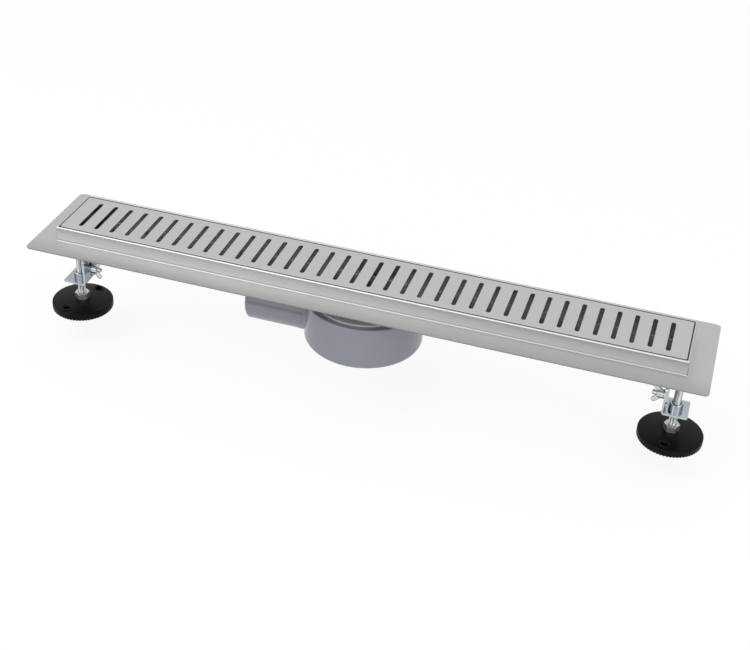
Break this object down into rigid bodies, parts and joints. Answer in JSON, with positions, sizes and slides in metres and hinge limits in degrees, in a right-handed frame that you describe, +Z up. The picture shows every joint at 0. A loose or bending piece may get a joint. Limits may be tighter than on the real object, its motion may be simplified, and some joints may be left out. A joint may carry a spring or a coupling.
{
  "type": "linear shower drain",
  "caption": "Long stainless shower channel with slotted cover, wide flange, grey trap with side spigot, and height-adjustable screw feet.",
  "frame": {"origin": "floor under the feet, at the middle of the channel", "axes": "+X along the channel, away from the outlet spigot, +Y across it, +Z up"},
  "size_m": [0.7134, 0.124, 0.1186],
  "materials": {
    "stainless_sheet": "satin stainless sheet",
    "brushed_cover": "brushed stainless cover",
    "grey_plastic": "moulded grey plastic",
    "seal_rubber": "black seal rubber",
    "black_plastic": "satin black plastic",
    "bright_zinc": "bright zinc on steel",
    "blue_zinc": "bluish zinc on steel"
  },
  "bodies": {
    "channel": {"channel_body": "stainless_sheet", "grate": "brushed_cover", "outlet_plate": "stainless_sheet", "trap_body": "grey_plastic", "trap_gasket": "seal_rubber", "waste_flange": "grey_plastic", "trap_insert": "grey_plastic", "insert_o_ring": "seal_rubber", "hair_strainer": "stainless_sheet", "left_bracket_lug": "stainless_sheet", "left_clamp_stud": "bright_zinc", "left_clamp_washer": "bright_zinc", "right_bracket_lug": "stainless_sheet", "right_clamp_stud": "bright_zinc", "right_clamp_washer": "bright_zinc"},
    "left_bracket": {"left_foot_bracket": "blue_zinc", "left_bracket_bush": "blue_zinc"},
    "left_foot": {"left_foot_pad": "black_plastic"},
    "left_stud": {"left_levelling_stud": "bright_zinc", "left_stud_nut": "bright_zinc"},
    "left_wing": {"left_wing_nut": "bright_zinc"},
    "right_bracket": {"right_foot_bracket": "blue_zinc", "right_bracket_bush": "blue_zinc"},
    "right_foot": {"right_foot_pad": "black_plastic"},
    "right_stud": {"right_levelling_stud": "bright_zinc", "right_stud_nut": "bright_zinc"},
    "right_wing": {"right_wing_nut": "bright_zinc"}
  },
  "joints": [
    {"name": "left_bracket_slide", "type": "slide", "parent": "channel", "child": "left_bracket", "axis": [0, 0, 1], "range_m": [-0.006, 0.006]},
    {"name": "left_foot_raise", "type": "slide", "parent": "left_bracket", "child": "left_foot", "axis": [0, 0, 1], "range_m": [-0.03, 0.008]},
    {"name": "left_stud_turn", "type": "hinge", "parent": "left_foot", "child": "left_stud", "pos_m": [-0.3237, 0, 0.01], "axis": [0, 0, 1], "range_deg": [-8650, 2310]},
    {"name": "left_wing_turn", "type": "hinge", "parent": "channel", "child": "left_wing", "pos_m": [-0.3052, 0, 0.0505], "axis": [1, 0, 0], "range_deg": [0, 360]},
    {"name": "right_bracket_slide", "type": "slide", "parent": "channel", "child": "right_bracket", "axis": [0, 0, 1], "range_m": [-0.006, 0.006]},
    {"name": "right_foot_raise", "type": "slide", "parent": "right_bracket", "child": "right_foot", "axis": [0, 0, 1], "range_m": [-0.03, 0.008]},
    {"name": "right_stud_turn", "type": "hinge", "parent": "right_foot", "child": "right_stud", "pos_m": [0.3237, 0, 0.01], "axis": [0, 0, 1], "range_deg": [-8650, 2310]},
    {"name": "right_wing_turn", "type": "hinge", "parent": "channel", "child": "right_wing", "pos_m": [0.3052, 0, 0.0505], "axis": [-1, 0, 0], "range_deg": [0, 360]}
  ],
  "couplings": [
    {"joint": "left_stud_turn", "follows": "left_foot_raise", "rad_per_m": 5026.5},
    {"joint": "right_stud_turn", "follows": "right_foot_raise", "rad_per_m": 5026.5}
  ]
}
